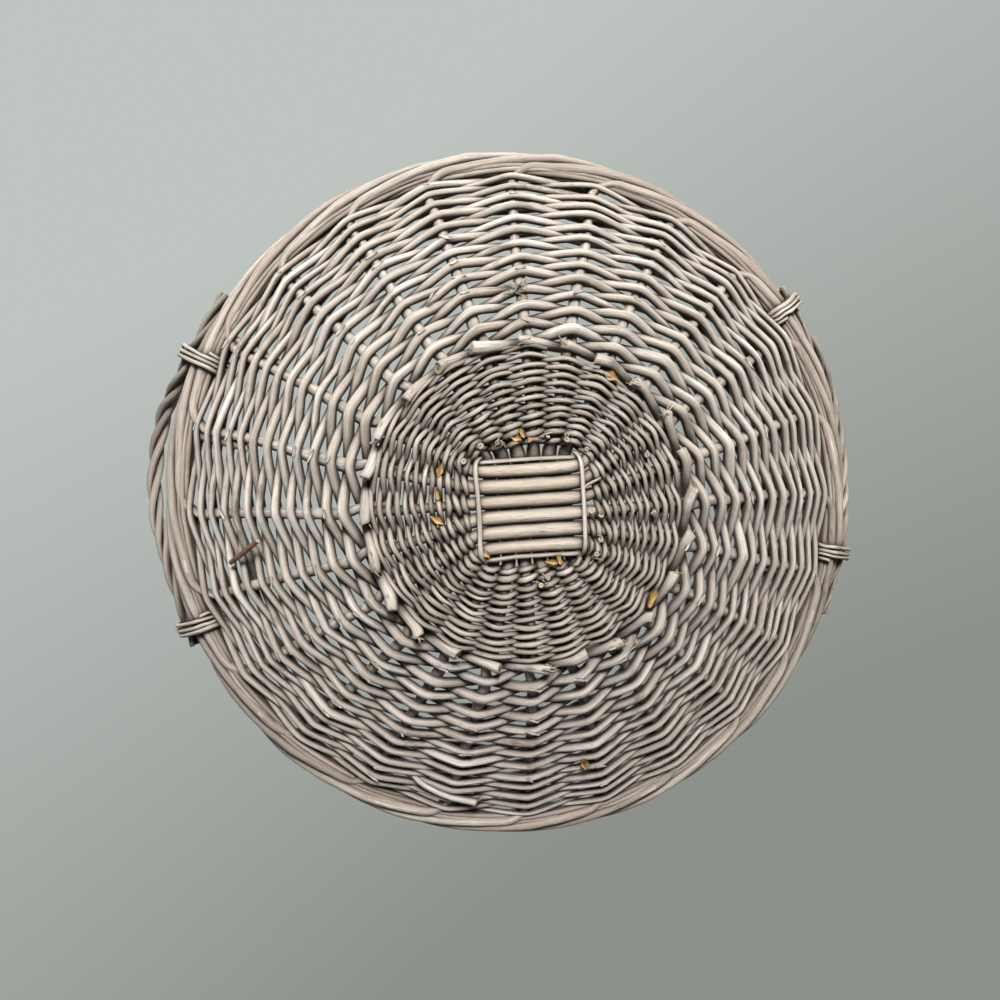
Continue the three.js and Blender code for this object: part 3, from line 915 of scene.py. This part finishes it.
def sideWeaver(start):
    thickness = chance.normal(1, weave["uneven"])
    drift = waves(*weave["driftWaves"])
    points, widths = [], []
    tail = -chance.uniform(*weave["buttTail"])
    butt = (tail, rows[0] + chance.normal(0, weave["buttWander"]))
    for step, height in [butt] + list(enumerate(rows)):
        share = (height - rows[0]) / (rows[-1] - rows[0])
        dia = thickness * (weave["buttDia"] + (weave["tipDia"] - weave["buttDia"]) * share)
        height += weave["wander"] * (drift(step) + chance.normal(0, weave["wanderStep"]))
        points.append(weaverPoint(start, step, height, dia, step < 0 or step % 2 == 0))
        widths.append(dia)
    off = unit(np.array([*points[0][:2], -weave["buttDown"]]))
    points[0] = points[0] + off * chance.uniform(*weave["buttLift"])
    points[0][2] = max(points[0][2], weave["buttLowest"] * widths[0])
    rods = [bendRod("weaver", blanks["long"], points, widths, [sideWash, cutFace],
                    tension=chance.uniform(*weave["tension"]))]
    rods += frayEnd(points[0], unit(points[0] - points[1]), down, chance.poisson(weave["buttFibres"]))
    for k in chance.choice(np.arange(1, len(points), 2), weave["chips"], replace=False):
        angle = spokeTurn * (start + k - 1)
        out = -onSide(angle, rows[k - 1])[1]
        way = turnedLevel(0, 1, angle + chance.normal(0, weave["chipTurn"]))
        place = points[k] + out * (widths[k] / 2 + weave["chipOff"])
        length, width = chance.uniform(*weave["chipLength"]), chance.uniform(*weave["chipWidth"])
        rods.append(layFlake(place, out, way, length, width, chippedWash))
    return rods


# What is caught in the sides: a dead twig, straw, a bark flake, and a thick rod that was put in later.
# Places are an angle, a height along the side, and how far outside it.
sideCatch = {
    "twig": ((170.6, 83, 6.5), (172.4, 72, 7.5), (174.4, 62, 9.0)),
    "twigDia": (2.4, 2.7, 2.1),
    "straw": ((-93.5, 31, 6.0), (-92.5, 34, 6.0), (-91.0, 32, 6.0), (-90.0, 35, 6.0),
              (-113.7, 38, 6.0), (53.6, 9, 6.0), (-154.2, 4, 6.0)),
    "fibres": 3,
    "flake": (78.2, 74.3, 5.5), "flakeWay": (0.4, 1.0, 0), "flakeSize": (8, 4),
    "splice": ((114.0, 92.6, -1.0), (110.5, 95, 2.6), (105.5, 97, 4.2), (100.0, 98.6, 4.6)),
    "spliceDia": (3.2, 4.0, 4.6, 4.6), "spliceTone": 0.9,
}


def outsideSide(angle, height, away):
    point, inward = onSide(angle, height)[:2]
    return point - inward * away, -inward


def sideBits():
    twig = [outsideSide(*spot)[0] for spot in sideCatch["twig"]]
    bits = [bendRod("twig", blanks["short"], twig, sideCatch["twigDia"], [deadTwig, cutFace])]
    for spot in sideCatch["straw"]:
        place, out = outsideSide(*spot)
        bits += frayEnd(place, turnedLevel(0, 1, spot[0]), out, sideCatch["fibres"])
    place, out = outsideSide(*sideCatch["flake"])
    way = np.array(sideCatch["flakeWay"])
    bits.append(layFlake(place, out, way, *sideCatch["flakeSize"], goldenBark))
    splice = [outsideSide(*spot)[0] for spot in sideCatch["splice"]]
    bits.append(bendRod("splice", blanks["short"], splice, sideCatch["spliceDia"], [sideWash, cutFace],
                        tone=sideCatch["spliceTone"]))
    bits += frayEnd(splice[-1], unit(splice[-1] - splice[-2]), noWay, sideCatch["fibres"])
    return bits


def addSideWeavers():
    for i in range(0, tray["spokes"], 2):
        number = f"{i // 2 + 1:02d}"
        rods = sideWeaver(i) + sideWeaver(i + 1) + (sideBits() if i == 0 else [])
        finishPiece(f"weaver_pair_{number}", rods, "side_weavers", f"side_weavers_{number}")


addSideWeavers()
print("sides woven")


# Handles: three rods twisted into a bow, tied to the border by thin lashings

bow = {
    "middle": -7.5, "halfTurn": 22.5, "dia": 8.6, "rise": 30.0, "flare": 24.0,
    "seat": 25.0,  # angle above the outside at which its ends lie against the border
    "tail": 7.0,
    "shape": ((0.76, 0.0), (0.62, 0.24), (0.4, 0.76), (0.18, 0.96)),
    "samples": 60, "strands": 3,
    "strandOut": 0.54,  # share of the radius at which the strands lie
    "uneven": (0.92, 1.05),
    "lay": 62.0,  # length of one twist
}
seatReach = borderRadius + bow["dia"] / 2
seatOut, seatHigh = turned(seatReach, 0, bow["seat"])


def addBow(name, node, middle):
    half = [(bow["halfTurn"] + bow["tail"], 0.0)] + [(t * bow["halfTurn"], way) for t, way in bow["shape"]]
    turns = half + [(0, 1)] + [(-t, way) for t, way in reversed(half)]
    route = []
    for turn, way in turns:
        out = seatOut + (bow["flare"] - seatOut) * way
        route.append(onRim(middle + turn, out, seatHigh + (bow["rise"] - seatHigh) * way))
    line, _, length = smoothRoute(route, [1] * len(route), bow["samples"])
    along = waysAlong(line)
    outward = turnedLevel(1, 0, middle)
    strandOut = bow["dia"] / 2 * bow["strandOut"]
    rods = []
    for strand in range(bow["strands"]):
        points = []
        for k in range(len(line)):
            side = unit(outward - along[k] * outward.dot(along[k]))
            top = np.cross(along[k], side)
            a = 2 * math.pi * (length * k / (len(line) - 1) / bow["lay"] + strand / bow["strands"])
            points.append(line[k] + (side * math.cos(a) + top * math.sin(a)) * strandOut)
        dia = (bow["dia"] - 2 * strandOut) * chance.uniform(*bow["uneven"])
        rods.append(bendRod("strand", blanks["middle"], points, [dia] * len(points), [bowWash, cutFace]))
    finishPiece(name, rods, "handles", node)


lash = {
    "dia": 2.4, "taper": (1.1, 0.85), "turns": 3,
    "steps": 14,  # in a turn
    "extraSteps": 5, "start": 160,
    "pitch": 0.78,  # degrees round the rim
    "fromStake": 4.0, "loose": 0.25, "wander": 0.07,
}


def addLashing(name, node, angle):
    points = []
    for k in range(lash["turns"] * lash["steps"] + lash["extraSteps"]):
        a = 360 * k / lash["steps"] + lash["start"]
        onBow = math.cos(math.radians(a - bow["seat"])) > 0
        reach = (bow["dia"] / 2 if onBow else borderRadius) + lash["dia"] / 2
        reach += abs(chance.normal(0, lash["loose"]))
        away = turned(reach, 0, a) + (np.array([seatOut, seatHigh]) if onBow else 0)
        along = lash["pitch"] * (k / lash["steps"] - lash["turns"] / 2)
        points.append(onRim(angle + along + chance.normal(0, lash["wander"]), *away))
    first, last = lash["taper"]
    widths = np.linspace(lash["dia"] * first, lash["dia"] * last, len(points))
    rod = bendRod(name, blanks["long"], points, widths, [tieWash, cutFace])
    finishPiece(name, [rod], "lashings", node)


for sideName, middle in (("right", bow["middle"]), ("left", 180 - bow["middle"])):
    addBow(f"bow_{sideName}", f"handle_bow_{sideName}", middle)
    for number, end in ((1, bow["halfTurn"]), (2, -bow["halfTurn"])):
        place = f"{sideName}_{number}"
        addLashing(f"lashing_{place}", f"handle_lashing_{place}", middle + end - lash["fromStake"])
print("handles made")


# Floor and light, in metres

stageLook = {
    "floor": "#CBD0CC", "farFloor": "#B9BEBA",
    "floorSize": 12, "floorLevel": -0.0004,
    "fade": (0.5, 1.5),  # the floor turns plain grey over this distance
    "roughness": 0.9, "gloss": 0.1,
    "wallLight": "#BFC5C1",  # the wall behind the tray, paler towards the lamp
    "wallShade": "#8C908B", "wallWay": (0.5, 0.87, 0), "wallSpan": (-0.35, 0.5),
    "room": "#EEF0EE", "roomStrength": 0.08,
}


# 1 for rays that show the wall or the floor to the eye, straight or in a mirror
def seenRays(tree):
    ray = addNode(tree, "LightPath")
    straight = addNode(tree, "Math", [(0, ray, "Is Camera Ray"), (1, ray, "Is Glossy Ray")],
                       operation="MAXIMUM")
    return addNode(tree, "Math", [(0, straight, "Value"), (1, ray, "Is Transmission Ray")],
                   operation="MAXIMUM")


# The floor shows from above only, so that the camera below it sees the tray.
def addFloor():
    deselectAll()
    bpy.ops.mesh.primitive_plane_add(size=stageLook["floorSize"], location=(0, 0, stageLook["floorLevel"]))
    floor = bpy.context.object
    floor.name = "pale_floor"
    floor.visible_shadow = False
    floor.visible_diffuse = False
    material, tree, shader = newMaterial("pale_matt_paint")  # soft, even, no gloss
    setInputs(shader, Base_Color=linearColour(stageLook["floor"]),
              Roughness=stageLook["roughness"], Specular_IOR_Level=stageLook["gloss"])
    place = addNode(tree, "TexCoord")
    away = addNode(tree, "VectorMath", [(0, place, "Object")], operation="LENGTH")
    far = remap(tree, away, "Value", stageLook["fade"])
    fade = addNode(tree, "Math", [(0, far, "Result"), (1, seenRays(tree), "Value")], operation="MULTIPLY")
    plain = addNode(tree, "Emission", Color=linearColour(stageLook["farFloor"]), Strength=1.0)
    top = addNode(tree, "MixShader", [(0, fade, "Value"), (1, shader, "BSDF"), (2, plain, "Emission")])
    face = addNode(tree, "NewGeometry")
    clear = addNode(tree, "BsdfTransparent")
    shown = addNode(tree, "MixShader", [(0, face, "Backfacing"), (1, top, "Shader"), (2, clear, "BSDF")])
    feed(tree, tree.nodes["Material Output"], "Surface", shown, "Shader")
    floor.data.materials.append(material)


def addRoom():
    world = bpy.data.worlds.new("paleRoom")
    scene.world = world
    world.use_nodes = True
    tree = world.node_tree
    light = tree.nodes["Background"]
    setInputs(light, Color=linearColour(stageLook["room"]), Strength=stageLook["roomStrength"])
    way = addNode(tree, "TexCoord")
    slope = addNode(tree, "VectorMath", [(0, way, "Generated")], operation="DOT_PRODUCT")
    slope.inputs[1].default_value = stageLook["wallWay"]
    share = remap(tree, slope, "Value", stageLook["wallSpan"])
    wall = mixColours(tree, (share, "Result"), stageLook["wallLight"], stageLook["wallShade"])
    seen = addNode(tree, "Background", [("Color", wall, "Color")], Strength=1.0)
    shown = [(0, seenRays(tree), "Value"), (1, light, "Background"), (2, seen, "Background")]
    both = addNode(tree, "MixShader", shown)
    feed(tree, tree.nodes["World Output"], "Surface", both, "Shader")


# One lamp beyond the picture's top edge lights the underside, with a weak fill opposite, and one over the
# floor lights the inside.
lamps = {
    "below": {"place": (-0.05, -0.88, -0.98), "size": 0.4, "power": 34.0, "tint": "#FFFEFB"},
    "belowFill": {"place": (0.3, 0.3, -1.2), "size": 1.0, "power": 0.8, "tint": "#F4F7FF"},
    "above": {"place": (-0.5, -0.5, 1.2), "size": 0.5, "power": 20.0, "tint": "#FFFEFB"},
}
lampAim = (0, 0, 0.03)


def addLamps():
    for name, lamp in lamps.items():
        data = bpy.data.lights.new(name, "AREA")
        data.size = lamp["size"]
        data.energy = lamp["power"]
        data.color = linearColour(lamp["tint"])[:3]
        light = bpy.data.objects.new(name, data)
        scene.collection.objects.link(light)
        turn = (Vector(lampAim) - Vector(lamp["place"])).to_track_quat("-Z", "Y")
        light.matrix_world = Matrix.Translation(lamp["place"]) @ turn.to_matrix().to_4x4()


addFloor()
addRoom()
addLamps()
for blank in blanks.values():
    bpy.data.objects.remove(blank)
print("stage set")
